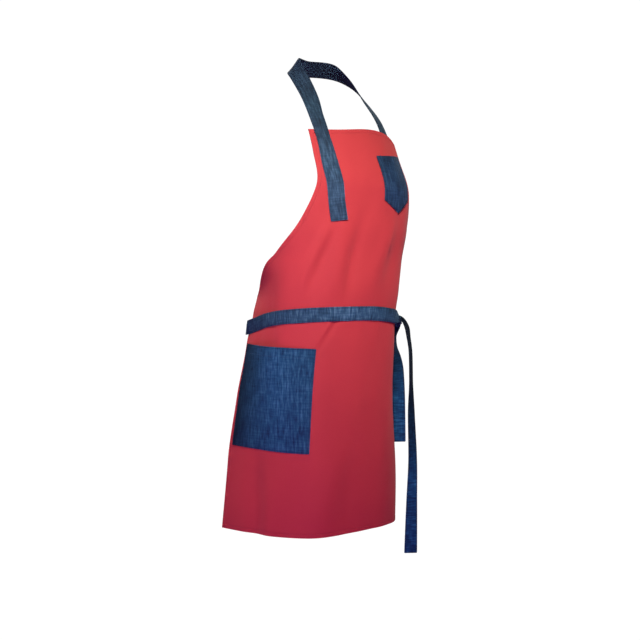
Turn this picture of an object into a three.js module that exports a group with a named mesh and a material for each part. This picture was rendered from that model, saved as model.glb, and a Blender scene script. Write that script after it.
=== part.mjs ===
// Kitchen apron: a red cotton bib apron with a denim neck strap, pockets and waist tie, in its worn form.
// Millimetres, +Z up. The front faces -Y and the wearer's left is +X.
// The origin is the nape of the neck, where the neck strap sits.
import * as THREE from 'three';

// Thickness of each cloth, and the gap kept between pieces that lie on each other
const PANEL_THICKNESS = 1.2;
const POCKET_THICKNESS = 1.6;
const STRAP_THICKNESS = 2.0;
const PIECE_GAP = 1;

// The panel: heights of its edges, and how far its top edge rises in the middle
const BIB_TOP = -144;
const BIB_CROWN = 9;
const SIDE_CORNER = -460;
const HEM = -912;
const PANEL_COLUMNS = 44;
const PANEL_ROWS = 42;

// How quickly the crown of the top edge and the wave of the hem die away over the panel's height
const CROWN_FADE = 4;
const HEM_FADE = 6;

// The straps
const NECK_STRAP_WIDTH = 35;
const NECK_STRAP_COLUMNS = 2;
const WAIST_TIE_WIDTH = 28;
const STRAP_STEP = 12;

// The pockets
const CHEST_POCKET = { inner: 25, outer: 114, top: -182, side: -264, tip: -291, gape: 5 };
const HIP_POCKET = { innerTop: -116, outerTop: -316, innerBottom: -127, outerBottom: -330, gape: 7 };
const HIP_POCKET_INNER_TOP = -561;
const HIP_POCKET_OUTER_TOP = -552;
const HIP_POCKET_DEPTH = 200;
const CHEST_POCKET_STEPS = 8;
const HIP_POCKET_COLUMNS = 14;
const HIP_POCKET_ROWS = 10;

// The knot: where it lies on the panel, and half its size along the tie, up and outwards.
// Its squareness is a power, 1 for a ball and 0 for a block. Its groove is in shares of its size.
const KNOT = { across: 146, z: -507, along: 15, up: 16, out: 9, squareness: 0.6 };
const KNOT_GROOVE = { depth: 0.16, slant: 0.5, width: 0.22 };
const KNOT_SIDES = 20;
const KNOT_RINGS = 12;

const RED_COTTON = new THREE.MeshStandardMaterial({ color: 0xc0303c, roughness: 0.85, metalness: 0 });
const NAVY_DENIM = new THREE.MeshStandardMaterial({ color: 0x2b3d5e, roughness: 0.9, metalness: 0 });

// The worn form, one row for each height. Half a level section is a chain of arcs that starts in the middle
// of the front: a wide front, a tight hip and a side, which ends at its reach. The back then closes it.
// Columns: z, frontY, frontRadius, frontLength, hipRadius, hipLength, sideRadius, reach
const SECTIONS = [
  [-135, -149, 300, 100, 300, 60, 300, 360],
  [-185, -172, 270, 100, 240, 60, 300, 360],
  [-255, -195, 270, 100, 200, 70, 300, 360],
  [-325, -193, 255, 100, 140, 90, 300, 360],
  [-390, -185, 245, 95, 95, 118, 550, 340],
  [-445, -182, 225, 95, 87, 131, 600, 322],
  [-495, -176, 220, 90, 86, 123, 600, 322],
  [-555, -172, 220, 90, 89, 121, 600, 340],
  [-660, -168, 220, 92, 90, 109, 600, 360],
  [-785, -168, 225, 96, 92, 99, 600, 360],
  [-915, -167, 240, 96, 95, 99, 600, 360],
].map(([z, frontY, frontRadius, frontLength, hipRadius, hipLength, sideRadius, reach]) => (
  { z, frontY, frontRadius, frontLength, hipRadius, hipLength, sideRadius, reach }
));

// The round corner that turns from the side of a section to its back
const BACK_RADIUS = 60;
const BACK_TURN = THREE.MathUtils.degToRad(170);

// The panel's outline, by half its width measured along the cloth: the armhole from the bib's top corner
// to the side corner, and the hem, which hangs lowest at the wearer's right front
const ARMHOLE = [
  { half: 123, z: -144 },
  { half: 127, z: -190 },
  { half: 135, z: -248 },
  { half: 156, z: -301 },
  { half: 180, z: -342 },
  { half: 211, z: -376 },
  { half: 241, z: -394 },
  { half: 285, z: -425 },
  { half: 330, z: -460 },
];
const HEM_HALF = 350;
const HEM_LINE = [
  { across: -350, z: -912 },
  { across: -130, z: -919 },
  { across: 20, z: -910 },
  { across: 150, z: -906 },
  { across: 350, z: -912 },
];

// Soft folds, each along a line on the panel from its start to its end; a negative depth is a groove
const FOLDS = [
  { name: 'arm ridge', startAcross: -104, startZ: -325, endAcross: -162, endZ: -462, width: 14, depth: 2.6 },
  { name: 'arm furrow', startAcross: -96, startZ: -335, endAcross: -142, endZ: -462, width: 14, depth: -2 },
  { name: 'strap ridge', startAcross: -82, startZ: -300, endAcross: -86, endZ: -482, width: 24, depth: 4 },
  { name: 'strap crease', startAcross: -30, startZ: -310, endAcross: -67, endZ: -486, width: 15, depth: -3 },
  { name: 'middle ridge', startAcross: 66, startZ: -315, endAcross: -44, endZ: -488, width: 26, depth: 3.4 },
  { name: 'left hollow', startAcross: 80, startZ: -330, endAcross: 42, endZ: -480, width: 24, depth: -2 },
  { name: 'tie crease', startAcross: -84, startZ: -505, endAcross: -112, endZ: -556, width: 14, depth: -3 },
  { name: 'hem flute', startAcross: -212, startZ: -740, endAcross: -206, endZ: -1000, width: 20, depth: 4.2 },
  { name: 'hem furrow', startAcross: -252, startZ: -745, endAcross: -250, endZ: -1000, width: 20, depth: -4 },
  { name: 'front drape', startAcross: -62, startZ: -730, endAcross: -132, endZ: -960, width: 30, depth: 3.4 },
  { name: 'front hollow', startAcross: -18, startZ: -720, endAcross: -62, endZ: -960, width: 30, depth: -3 },
  { name: 'left drape', startAcross: 48, startZ: -600, endAcross: 62, endZ: -1000, width: 40, depth: 3.4 },
];

// The neck strap where it is clear of the bib, from the wearer's left to the right. Turn is the direction
// of its outer edge, from sideways towards the back, and drop is how far that edge tips down, in degrees.
const NECK_ROUTE = [
  { place: 'left chest', x: 84, y: -121, z: -109, side: 1, turn: 22, drop: 0 },
  { place: 'left collarbone', x: 82, y: -92, z: -73, side: 1, turn: 26, drop: 3 },
  { place: 'left neck', x: 72, y: -55, z: -28, side: 1, turn: 32, drop: 28 },
  { place: 'left crest', x: 55, y: -22, z: -3, side: 1, turn: 44, drop: 54 },
  { place: 'nape', x: 0, y: 0, z: 0, side: -1, turn: 90, drop: 58 },
  { place: 'right crest', x: -55, y: -22, z: -3, side: -1, turn: 44, drop: 54 },
  { place: 'right neck', x: -68, y: -51, z: -28, side: -1, turn: 26, drop: 34 },
  { place: 'right collarbone', x: -81, y: -83, z: -73, side: -1, turn: 22, drop: 12 },
  { place: 'right chest', x: -90, y: -120, z: -109, side: -1, turn: 13, drop: 2 },
];
const NECK_SEAM = [
  { across: 91, z: -176 },
  { across: 91, z: -144 },
];
const NECK_FREE_END = [
  { across: -97, z: -144 },
  { across: -101, z: -180 },
  { across: -103, z: -222 },
  { across: -99, z: -270 },
  { across: -92, z: -319 },
];
const NECK_SEAM_EASE = 0.8;

// The ties, by their place round the body from the middle of the front, with lap 1 once they have passed the
// back. The right tie's places are mirrored. Layer is -1 inside the panel, 1 on it and 2 over the other tie.
const WAIST = -500;
const LEFT_TIE_ROUTE = [
  { lap: 0, across: 306, z: -474, layer: -1 },
  { lap: 0, across: 338, z: -477, layer: -1 },
  { lap: 0, across: 378, z: -485, layer: 2 },
  { lap: 0, across: 435, z: -507, layer: 2 },
  { lap: 1, across: -375, z: -519, layer: 2 },
  { lap: 1, across: -334, z: -521, layer: 1 },
  { lap: 1, across: -290, z: -516, layer: 1 },
  { lap: 1, across: -240, z: -506, layer: 1 },
  { lap: 1, across: -178, z: -500, layer: 1 },
  { lap: 1, across: -85, z: -495, layer: 1 },
  { lap: 1, across: 0, z: -493, layer: 1 },
  { lap: 1, across: 90, z: -498, layer: 1 },
  { lap: 1, across: 137, z: -505, layer: 1 },
];
const RIGHT_TIE_ROUTE = [
  { lap: 0, across: 306, z: -474, layer: -1 },
  { lap: 0, across: 338, z: -477, layer: -1 },
  { lap: 0, across: 378, z: -486, layer: 1 },
  { lap: 0, across: 435, z: -506, layer: 1 },
  { lap: 1, across: -330, z: -518, layer: 1 },
  { lap: 1, across: -240, z: -514, layer: 1 },
  { lap: 1, across: -158, z: -508, layer: 1 },
];

// The free ends below the knot. Turn is the direction of the tie's width, from the wearer's left
// towards the back, in degrees.
const LONG_TAIL_ROUTE = [
  { x: 141, y: -128, z: -490.4, turn: 37 },
  { x: 147, y: -136, z: -489, turn: 35 },
  { x: 151, y: -141, z: -509, turn: 35 },
  { x: 154, y: -144, z: -533, turn: 33 },
  { x: 155, y: -146, z: -560, turn: 32 },
  { x: 155, y: -146, z: -626, turn: 28 },
  { x: 155, y: -146, z: -707, turn: 17 },
  { x: 157, y: -148, z: -788, turn: 6 },
  { x: 156, y: -147, z: -868, turn: -3 },
  { x: 154, y: -145, z: -975, turn: -22 },
];
const SHORT_TAIL_ROUTE = [
  { x: 138, y: -124, z: -524.9, turn: 25 },
  { x: 146, y: -117, z: -545, turn: 10 },
  { x: 149, y: -116, z: -570, turn: -17 },
  { x: 150, y: -115, z: -605, turn: -33 },
  { x: 150, y: -115, z: -660, turn: -39 },
  { x: 150, y: -115, z: -752, turn: -41 },
];

// A smooth value of one column of a table, with no overshoot between its rows
function columnAt(table, key, column, at) {
  const last = table.length - 1;
  const rising = table[last][key] > table[0][key] ? 1 : -1;
  let row = 0;
  while (row < last - 1 && (at - table[row + 1][key]) * rising > 0) row += 1;
  const slope = (from) => {
    if (from < 0 || from >= last) return null;
    return (table[from + 1][column] - table[from][column]) / (table[from + 1][key] - table[from][key]);
  };
  const tangent = (index) => {
    const before = slope(index - 1);
    const after = slope(index);
    if (before === null) return after;
    if (after === null) return before;
    return before * after <= 0 ? 0 : (2 * before * after) / (before + after);
  };
  const length = table[row + 1][key] - table[row][key];
  const t = THREE.MathUtils.clamp((at - table[row][key]) / length, 0, 1);
  const start = table[row][column] * (1 + 2 * t) * (1 - t) ** 2 + tangent(row) * length * t * (1 - t) ** 2;
  const end = table[row + 1][column] * t * t * (3 - 2 * t) + tangent(row + 1) * length * t * t * (t - 1);
  return start + end;
}

// The arcs of half a section, from the middle of the front to the middle of the back
function sectionArcs(z) {
  const value = (column) => columnAt(SECTIONS, 'z', column, z);
  const arcs = [
    { radius: value('frontRadius'), length: value('frontLength') },
    { radius: value('hipRadius'), length: value('hipLength') },
  ];
  arcs.push({ radius: value('sideRadius'), length: value('reach') - arcs[0].length - arcs[1].length });
  let heading = 0;
  let x = 0;
  const turn = (arc) => {
    const next = heading + arc.length / arc.radius;
    x += arc.radius * (Math.sin(next) - Math.sin(heading));
    heading = next;
  };
  arcs.forEach(turn);
  const corner = { radius: BACK_RADIUS, length: BACK_RADIUS * (BACK_TURN - heading) };
  arcs.push(corner);
  turn(corner);
  const back = { radius: x / Math.sin(BACK_TURN) };
  back.length = back.radius * (Math.PI - BACK_TURN);
  arcs.push(back);
  return { arcs, frontY: value('frontY'), half: arcs.reduce((sum, arc) => sum + arc.length, 0) };
}

// How far the folds push the panel outwards at a place on it
function foldLift(across, z) {
  let lift = 0;
  for (const fold of FOLDS) {
    const start = new THREE.Vector2(fold.startAcross, fold.startZ);
    const line = new THREE.Vector2(fold.endAcross, fold.endZ).sub(start);
    const place = new THREE.Vector2(across, z).sub(start);
    const along = place.dot(line) / line.lengthSq();
    if (along <= 0 || along >= 1) continue;
    const away = place.cross(line) / line.length() / fold.width;
    lift += fold.depth * Math.sin(Math.PI * along) * Math.exp(-away * away);
  }
  return lift;
}

// A point of the worn form: across is measured round it from the middle of the front, to the wearer's left,
// and may go past the back. Lift is the distance outwards from the middle of the panel's cloth.
function bodyPoint(across, z, lift = 0) {
  const { arcs, frontY, half } = sectionArcs(z);
  const wrapped = across > half ? across - 2 * half : across;
  const side = Math.sign(wrapped) || 1;
  let left = Math.abs(wrapped);
  let heading = 0;
  let x = 0;
  let y = frontY;
  for (const { radius, length } of arcs) {
    const next = heading + Math.min(left, length) / radius;
    x += radius * (Math.sin(next) - Math.sin(heading));
    y += radius * (Math.cos(heading) - Math.cos(next));
    heading = next;
    left -= Math.min(left, length);
  }
  const out = lift + foldLift(wrapped, z);
  return new THREE.Vector3(side * (x + out * Math.sin(heading)), y - out * Math.cos(heading), z);
}

// A closed wall of even thickness about a middle surface, given by place(u, v) with u and v from 0 to 1
function clothWall(columns, rows, thickness, place) {
  const middle = [];
  for (let j = 0; j <= rows; j += 1) {
    for (let i = 0; i <= columns; i += 1) middle.push(place(i / columns, j / rows));
  }
  const at = (i, j) => j * (columns + 1) + i;
  const count = middle.length;
  const points = new Array(2 * count);
  for (let j = 0; j <= rows; j += 1) {
    for (let i = 0; i <= columns; i += 1) {
      const alongU = middle[at(Math.min(i + 1, columns), j)].clone().sub(middle[at(Math.max(i - 1, 0), j)]);
      const alongV = middle[at(i, Math.min(j + 1, rows))].clone().sub(middle[at(i, Math.max(j - 1, 0))]);
      const half = alongU.cross(alongV).setLength(thickness / 2);
      points[at(i, j)] = middle[at(i, j)].clone().add(half);
      points[at(i, j) + count] = middle[at(i, j)].clone().sub(half);
    }
  }
  const index = [];
  const quad = (a, b, c, d) => {
    const short = points[a].distanceTo(points[c]) <= points[b].distanceTo(points[d]);
    index.push(...(short ? [a, b, c, a, c, d] : [a, b, d, b, c, d]));
  };
  for (let j = 0; j < rows; j += 1) {
    for (let i = 0; i < columns; i += 1) {
      const corners = [at(i, j), at(i + 1, j), at(i + 1, j + 1), at(i, j + 1)];
      quad(...corners);
      quad(...corners.reverse().map((corner) => corner + count));
    }
  }
  const rim = (a, b) => quad(a, a + count, b + count, b);
  for (let i = 0; i < columns; i += 1) {
    rim(at(i, 0), at(i + 1, 0));
    rim(at(i + 1, rows), at(i, rows));
  }
  for (let j = 0; j < rows; j += 1) {
    rim(at(columns, j), at(columns, j + 1));
    rim(at(0, j + 1), at(0, j));
  }
  const geometry = new THREE.BufferGeometry().setFromPoints(points).setIndex(index);
  geometry.computeVertexNormals();
  return geometry;
}

// The red panel, bib and skirt in one. Its rows are level in the middle and end on the armhole or the side.
function apronPanel() {
  const armhole = new THREE.SplineCurve(ARMHOLE.map((row) => new THREE.Vector2(row.half, row.z)));
  const side = new THREE.LineCurve(armhole.getPoint(1), new THREE.Vector2(HEM_HALF, HEM));
  const bibShare = (BIB_TOP - SIDE_CORNER) / (BIB_TOP - HEM);
  return clothWall(PANEL_COLUMNS, PANEL_ROWS, PANEL_THICKNESS, (u, v) => {
    const sideways = 2 * u - 1;
    const edge = v < bibShare
      ? armhole.getPointAt(v / bibShare)
      : side.getPointAt((v - bibShare) / (1 - bibShare));
    const across = sideways * edge.x;
    const level = THREE.MathUtils.lerp(BIB_TOP, HEM, v);
    const dip = (edge.y - level) * sideways ** 2;
    const crown = BIB_CROWN * (1 - sideways ** 2) * (1 - v) ** CROWN_FADE;
    const hem = (columnAt(HEM_LINE, 'across', 'z', across) - HEM) * v ** HEM_FADE;
    return bodyPoint(across, level + dip + crown + hem);
  });
}

// How far the middle of a pocket lies from the middle of the panel, with its mouth standing open
function pocketLift(pocket, u, v) {
  const mouth = pocket.gape * Math.sin(Math.PI * u) ** 2 * (1 - v) ** 2;
  return (PANEL_THICKNESS + POCKET_THICKNESS) / 2 + PIECE_GAP + mouth;
}

// The chest pocket, with its bottom edge drawn down to a point
function chestPocket() {
  return clothWall(CHEST_POCKET_STEPS, CHEST_POCKET_STEPS, POCKET_THICKNESS, (u, v) => {
    const across = THREE.MathUtils.lerp(CHEST_POCKET.inner, CHEST_POCKET.outer, u);
    const point = 1 - Math.abs(2 * u - 1);
    const bottom = THREE.MathUtils.lerp(CHEST_POCKET.side, CHEST_POCKET.tip, point);
    const z = THREE.MathUtils.lerp(CHEST_POCKET.top, bottom, v);
    return bodyPoint(across, z, pocketLift(CHEST_POCKET, u, v));
  });
}

// The hip pocket, whose outer edge follows the flare of the panel's side
function hipPocket() {
  return clothWall(HIP_POCKET_COLUMNS, HIP_POCKET_ROWS, POCKET_THICKNESS, (u, v) => {
    const outer = THREE.MathUtils.lerp(HIP_POCKET.outerTop, HIP_POCKET.outerBottom, v);
    const inner = THREE.MathUtils.lerp(HIP_POCKET.innerTop, HIP_POCKET.innerBottom, v);
    const top = THREE.MathUtils.lerp(HIP_POCKET_OUTER_TOP, HIP_POCKET_INNER_TOP, u);
    const across = THREE.MathUtils.lerp(outer, inner, u);
    return bodyPoint(across, top - HIP_POCKET_DEPTH * v, pocketLift(HIP_POCKET, u, v));
  });
}

// A strap along stations that each give its middle and the direction across it
function strapAlong(stations, width, columns = 1) {
  const middles = new THREE.CatmullRomCurve3(stations.map((station) => station.middle));
  const acrosses = new THREE.CatmullRomCurve3(stations.map((station) => station.across));
  const rows = Math.round(middles.getLength() / STRAP_STEP);
  return clothWall(columns, rows, STRAP_THICKNESS, (u, v) => {
    const t = middles.getUtoTmapping(v);
    const tangent = middles.getTangent(t);
    const across = acrosses.getPoint(t);
    across.addScaledVector(tangent, -across.dot(tangent)).setLength(width * (u - 0.5));
    return middles.getPoint(t).add(across);
  });
}

// The neck strap: behind the bib at the wearer's left, round the nape, and over the bib at the right
function neckStrap() {
  const onBib = (PANEL_THICKNESS + STRAP_THICKNESS) / 2 + PIECE_GAP;
  const bibStations = (table, side, lift) => {
    const top = table[0].z;
    const bottom = table[table.length - 1].z;
    const steps = Math.round(Math.abs(bottom - top) / STRAP_STEP);
    return Array.from({ length: steps + 1 }, (_, step) => {
      const z = THREE.MathUtils.lerp(top, bottom, step / steps);
      const across = columnAt(table, 'z', 'across', z);
      const middle = bodyPoint(across, z, lift);
      const edge = bodyPoint(across + side * NECK_STRAP_WIDTH / 2, z, lift);
      return { middle, across: edge.sub(middle).normalize() };
    });
  };
  const route = NECK_ROUTE.map((row) => {
    const turn = THREE.MathUtils.degToRad(row.turn);
    const drop = THREE.MathUtils.degToRad(row.drop);
    const outward = new THREE.Vector3(row.side * Math.cos(turn), Math.sin(turn), -Math.tan(drop)).normalize();
    return { middle: new THREE.Vector3(row.x, row.y, row.z), across: outward };
  });
  const stations = [
    ...bibStations(NECK_SEAM, 1, -onBib - NECK_SEAM_EASE),
    ...route,
    ...bibStations(NECK_FREE_END, -1, onBib),
  ];
  return strapAlong(stations, NECK_STRAP_WIDTH, NECK_STRAP_COLUMNS);
}

// A waist tie round the body; side is 1 for the one sewn at the wearer's left and -1 for the other
function waistTie(route, side) {
  const onPanel = (PANEL_THICKNESS + STRAP_THICKNESS) / 2 + PIECE_GAP;
  const overTie = STRAP_THICKNESS + 2 * PIECE_GAP;
  const girth = 2 * sectionArcs(WAIST).half;
  const table = route.map((row) => ({ ...row, round: row.across + row.lap * girth }));
  const start = table[0].round;
  const end = table[table.length - 1].round;
  const rows = Math.round((end - start) / STRAP_STEP);
  return clothWall(1, rows, STRAP_THICKNESS, (u, v) => {
    const round = THREE.MathUtils.lerp(start, end, v);
    const layer = columnAt(table, 'round', 'layer', round);
    const lift = onPanel * Math.min(layer, 1) + overTie * Math.max(layer - 1, 0);
    const z = columnAt(table, 'round', 'z', round) + WAIST_TIE_WIDTH * (u - 0.5);
    return bodyPoint(round, z, lift).multiply(new THREE.Vector3(side, 1, 1));
  });
}

// A free end that hangs from the knot
function tieTail(route) {
  const stations = route.map((row) => {
    const turn = THREE.MathUtils.degToRad(row.turn);
    return {
      middle: new THREE.Vector3(row.x, row.y, row.z),
      across: new THREE.Vector3(Math.cos(turn), Math.sin(turn), 0),
    };
  });
  return strapAlong(stations, WAIST_TIE_WIDTH);
}

// The knot: a squashed round bundle with a groove where the upper tie wraps over the lower one
function tieKnot() {
  const lift = PANEL_THICKNESS / 2 + PIECE_GAP + KNOT.out;
  const middle = bodyPoint(KNOT.across, KNOT.z, lift);
  const along = bodyPoint(KNOT.across + KNOT.along, KNOT.z, lift).sub(middle).normalize();
  const up = new THREE.Vector3(0, 0, 1);
  const out = along.clone().cross(up);
  const geometry = new THREE.SphereGeometry(1, KNOT_SIDES, KNOT_RINGS);
  const position = geometry.getAttribute('position');
  const squared = (value) => Math.sign(value) * Math.abs(value) ** KNOT.squareness;
  for (let i = 0; i < position.count; i += 1) {
    const ball = new THREE.Vector3().fromBufferAttribute(position, i);
    const away = (ball.x + KNOT_GROOVE.slant * ball.z) / KNOT_GROOVE.width;
    const groove = 1 - KNOT_GROOVE.depth * Math.exp(-away * away);
    const place = middle.clone();
    place.addScaledVector(along, KNOT.along * squared(ball.x));
    place.addScaledVector(up, KNOT.up * squared(ball.z) * groove);
    place.addScaledVector(out, -KNOT.out * squared(ball.y) * groove);
    position.setXYZ(i, place.x, place.y, place.z);
  }
  geometry.computeVertexNormals();
  return geometry;
}

const apron = new THREE.Group();
function addPiece(name, geometry, material) {
  const mesh = new THREE.Mesh(geometry, material);
  mesh.name = name;
  apron.add(mesh);
}

addPiece('apron_panel', apronPanel(), RED_COTTON);
addPiece('neck_strap', neckStrap(), NAVY_DENIM);
addPiece('chest_pocket', chestPocket(), NAVY_DENIM);
addPiece('hip_pocket', hipPocket(), NAVY_DENIM);
addPiece('waist_tie_left', waistTie(LEFT_TIE_ROUTE, 1), NAVY_DENIM);
addPiece('waist_tie_right', waistTie(RIGHT_TIE_ROUTE, -1), NAVY_DENIM);
addPiece('tie_knot', tieKnot(), NAVY_DENIM);
addPiece('tie_tail_short', tieTail(SHORT_TAIL_ROUTE), NAVY_DENIM);
addPiece('tie_tail_long', tieTail(LONG_TAIL_ROUTE), NAVY_DENIM);

export default apron;
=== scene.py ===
# Kitchen apron: a red cotton bib apron with a denim neck strap, pockets and waist tie, in its worn form.
# Its sizes are in millimetres and become metres where a mesh is made. Lights and camera are in metres.
# +Z is up, the front faces -Y, the wearer's left is +X, and the origin is the nape of the neck.
import math

import bpy
import numpy as np
from mathutils import Matrix, Vector


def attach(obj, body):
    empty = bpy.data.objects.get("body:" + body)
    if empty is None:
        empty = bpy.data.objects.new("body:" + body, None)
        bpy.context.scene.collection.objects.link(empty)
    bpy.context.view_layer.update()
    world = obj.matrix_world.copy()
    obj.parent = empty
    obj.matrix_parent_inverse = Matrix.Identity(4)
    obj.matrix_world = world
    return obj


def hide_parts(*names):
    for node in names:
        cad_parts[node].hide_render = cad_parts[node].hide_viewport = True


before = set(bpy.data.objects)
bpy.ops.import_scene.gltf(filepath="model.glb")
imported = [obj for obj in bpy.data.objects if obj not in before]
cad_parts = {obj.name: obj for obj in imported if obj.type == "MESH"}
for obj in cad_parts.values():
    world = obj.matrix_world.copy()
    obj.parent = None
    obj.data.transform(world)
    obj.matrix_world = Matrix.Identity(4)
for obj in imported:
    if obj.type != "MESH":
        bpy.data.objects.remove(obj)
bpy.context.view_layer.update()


# Apron panel. One piece of red cotton drill, bib and skirt together, cut with two hollow armholes.
# It hangs from the neck strap, is drawn in at the waist by the tie, and falls in soft folds.
MM = 0.001
PANEL_THICKNESS = 1.2
PANEL_SEAM = 8.0
BIB_TOP = -144.0
BIB_CROWN = 9.0
BIB_TILT = 4.0
CORNER_DROP = 10.0
CORNER_START = 0.75
CORNER_FADE = 16
SIDE_CORNER = -460.0
HEM = -912.0
HEM_HALF = 350.0
SIDE_HALF = 330.0
CROWN_FADE = 4
HEM_FADE = 6
PANEL_COLUMNS = 168
PANEL_ROWS = 190
BACK_RADIUS = 60.0
BACK_TURN = math.radians(170)
SMOOTH_ANGLE = math.radians(50)
ARMHOLE_POINTS = 400


def table(names, rows):
    """The columns of a table, by name."""
    return {name: np.array(column) for name, column in zip(names, zip(*rows))}


# Level sections of the worn form: a wide front, a tight hip and a side, each an arc
SECTIONS = table(
    ("z", "front_y", "front_radius", "front_length", "hip_radius", "hip_length", "side_radius", "reach"),
    (
        (-135.0, -149, 300, 100, 300, 60, 300, 360),
        (-185.0, -172, 270, 100, 240, 60, 300, 360),
        (-255.0, -195, 270, 100, 200, 70, 300, 360),
        (-325.0, -193, 255, 100, 140, 90, 300, 360),
        (-390.0, -185, 245, 95, 95, 118, 550, 340),
        (-445.0, -182, 225, 95, 87, 131, 600, 322),
        (-495.0, -176, 220, 90, 86, 123, 600, 322),
        (-555.0, -172, 220, 90, 89, 121, 600, 340),
        (-660.0, -168, 220, 92, 90, 109, 600, 360),
        (-785.0, -168, 225, 96, 92, 99, 600, 360),
        (-915.0, -167, 240, 96, 95, 99, 600, 360),
    ),
)

# Half the panel's width along the cloth, down the armhole, and the wave of its hem
ARMHOLE = (
    (123, -144), (127, -190), (135, -248), (156, -301), (180, -342),
    (211, -376), (241, -394), (285, -425), (330, -460),
)
HEM_LINE = table(
    ("across", "z"),
    ((-350.0, -916), (-130.0, -920), (20.0, -910), (150.0, -906), (350.0, -912)),
)

# Soft folds, each along a line on the cloth; a negative depth is a groove
FOLDS = table(
    ("name", "start_across", "start_z", "end_across", "end_z", "width", "depth"),
    (
        ("arm ridge", -104.0, -315.0, -162.0, -464.0, 11.0, 4.2),
        ("arm furrow", -94.0, -325.0, -142.0, -464.0, 11.0, -3.0),
        ("strap ridge", -80.0, -290.0, -86.0, -484.0, 22.0, 6.0),
        ("strap crease", -32.0, -295.0, -67.0, -488.0, 15.0, -4.8),
        ("middle ridge", 64.0, -305.0, -44.0, -490.0, 24.0, 5.4),
        ("left hollow", 80.0, -320.0, 42.0, -482.0, 24.0, -2.4),
        ("breast hollow", -18.0, -225.0, -32.0, -345.0, 22.0, -2.0),
        ("waist tuck", -292.0, -455.0, -120.0, -457.0, 9.0, -0.8),
        ("tie crease", -58.0, -476.0, -120.0, -575.0, 6.0, -3.0),
        ("tie pleat", -69.0, -476.0, -131.0, -575.0, 8.0, 2.4),
        ("hem flute", -212.0, -740.0, -206.0, -1000.0, 20.0, 4.6),
        ("hem furrow", -252.0, -745.0, -250.0, -1000.0, 20.0, -4.6),
        ("front drape", -62.0, -730.0, -132.0, -960.0, 28.0, 5.0),
        ("front hollow", -18.0, -720.0, -62.0, -960.0, 24.0, -4.4),
        ("left drape", 48.0, -600.0, 62.0, -1000.0, 40.0, 4.4),
        ("side drape", 140.0, -690.0, 146.0, -950.0, 38.0, 4.6),
    ),
)


def smooth_value(keys, values, at):
    """Values between the rows of a table, with no overshoot."""
    order = np.argsort(keys)
    keys = np.asarray(keys, float)[order]
    values = np.asarray(values, float)[order]
    slopes = np.diff(values) / np.diff(keys)
    before = slopes[:-1]
    after = slopes[1:]
    together = np.where(before * after > 0, before + after, 1.0)
    inner = np.where(before * after > 0, 2 * before * after / together, 0.0)
    tangents = np.concatenate((slopes[:1], inner, slopes[-1:]))
    row = np.clip(np.searchsorted(keys, at) - 1, 0, len(keys) - 2)
    length = keys[row + 1] - keys[row]
    t = np.clip((at - keys[row]) / length, 0, 1)
    start = values[row] * (1 + 2 * t) * (1 - t) ** 2 + tangents[row] * length * t * (1 - t) ** 2
    end = values[row + 1] * t * t * (3 - 2 * t) + tangents[row + 1] * length * t * t * (t - 1)
    return start + end


def section_arcs(z):
    """Radii and lengths of half a section's arcs, from the middle of the front to that of the back."""
    value = {name: smooth_value(SECTIONS["z"], SECTIONS[name], z) for name in SECTIONS if name != "z"}
    side_length = value["reach"] - value["front_length"] - value["hip_length"]
    arcs = [
        (value["front_radius"], value["front_length"]),
        (value["hip_radius"], value["hip_length"]),
        (value["side_radius"], side_length),
    ]
    heading = np.zeros_like(z)
    x = np.zeros_like(z)
    for radius, length in arcs:
        x = x + radius * (np.sin(heading + length / radius) - np.sin(heading))
        heading = heading + length / radius
    x = x + BACK_RADIUS * (math.sin(BACK_TURN) - np.sin(heading))
    back_radius = x / math.sin(BACK_TURN)
    arcs.append((np.full_like(z, BACK_RADIUS), BACK_RADIUS * (BACK_TURN - heading)))
    arcs.append((back_radius, back_radius * (math.pi - BACK_TURN)))
    return arcs, value["front_y"]


def fold_lift(across, z):
    """How far the folds push the cloth outwards."""
    lift = np.zeros_like(z)
    for row in range(len(FOLDS["name"])):
        line_across = FOLDS["end_across"][row] - FOLDS["start_across"][row]
        line_z = FOLDS["end_z"][row] - FOLDS["start_z"][row]
        to_across = across - FOLDS["start_across"][row]
        to_z = z - FOLDS["start_z"][row]
        length = math.hypot(line_across, line_z)
        along = np.clip((to_across * line_across + to_z * line_z) / length ** 2, 0, 1)
        away = (to_across * line_z - to_z * line_across) / length / FOLDS["width"][row]
        lift = lift + FOLDS["depth"][row] * np.sin(math.pi * along) * np.exp(-away * away)
    return lift


def worn_point(across, z, lift=0.0):
    """A point of the worn form. Across is measured round it from the middle of the front, to the wearer's
    left, and may go past the back. Lift is the distance outwards from the middle of the panel's cloth."""
    across, z, lift = np.broadcast_arrays(*(np.asarray(part, float) for part in (across, z, lift)))
    arcs, front_y = section_arcs(z)
    half = sum(length for radius, length in arcs)
    wrapped = np.where(across > half, across - 2 * half, across)
    left = np.abs(wrapped)
    heading = np.zeros_like(z)
    x = np.zeros_like(z)
    y = np.array(front_y)
    for radius, length in arcs:
        step = np.minimum(left, length)
        turned = heading + step / radius
        x = x + radius * (np.sin(turned) - np.sin(heading))
        y = y + radius * (np.cos(heading) - np.cos(turned))
        heading = turned
        left = left - step
    out = lift + fold_lift(wrapped, z)
    side = np.where(wrapped < 0, -1.0, 1.0)
    return np.stack((side * (x + out * np.sin(heading)), y - out * np.cos(heading), z), axis=-1)


def even_steps(line, count):
    """The same line with evenly spaced points."""
    steps = np.linalg.norm(np.diff(line, axis=0), axis=1)
    places = np.concatenate(([0.0], np.cumsum(steps)))
    wanted = np.linspace(0, places[-1], count)
    return np.stack([np.interp(wanted, places, line[:, axis]) for axis in range(line.shape[1])], axis=1)


def cubic_span(start, end, leave, arrive, t):
    """Points on one span of a smooth curve, by the directions in which it leaves and arrives."""
    rise = 3 * (end - start) - 2 * leave - arrive
    turn = 2 * (start - end) + leave + arrive
    return start + leave * t + rise * t ** 2 + turn * t ** 3


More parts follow.
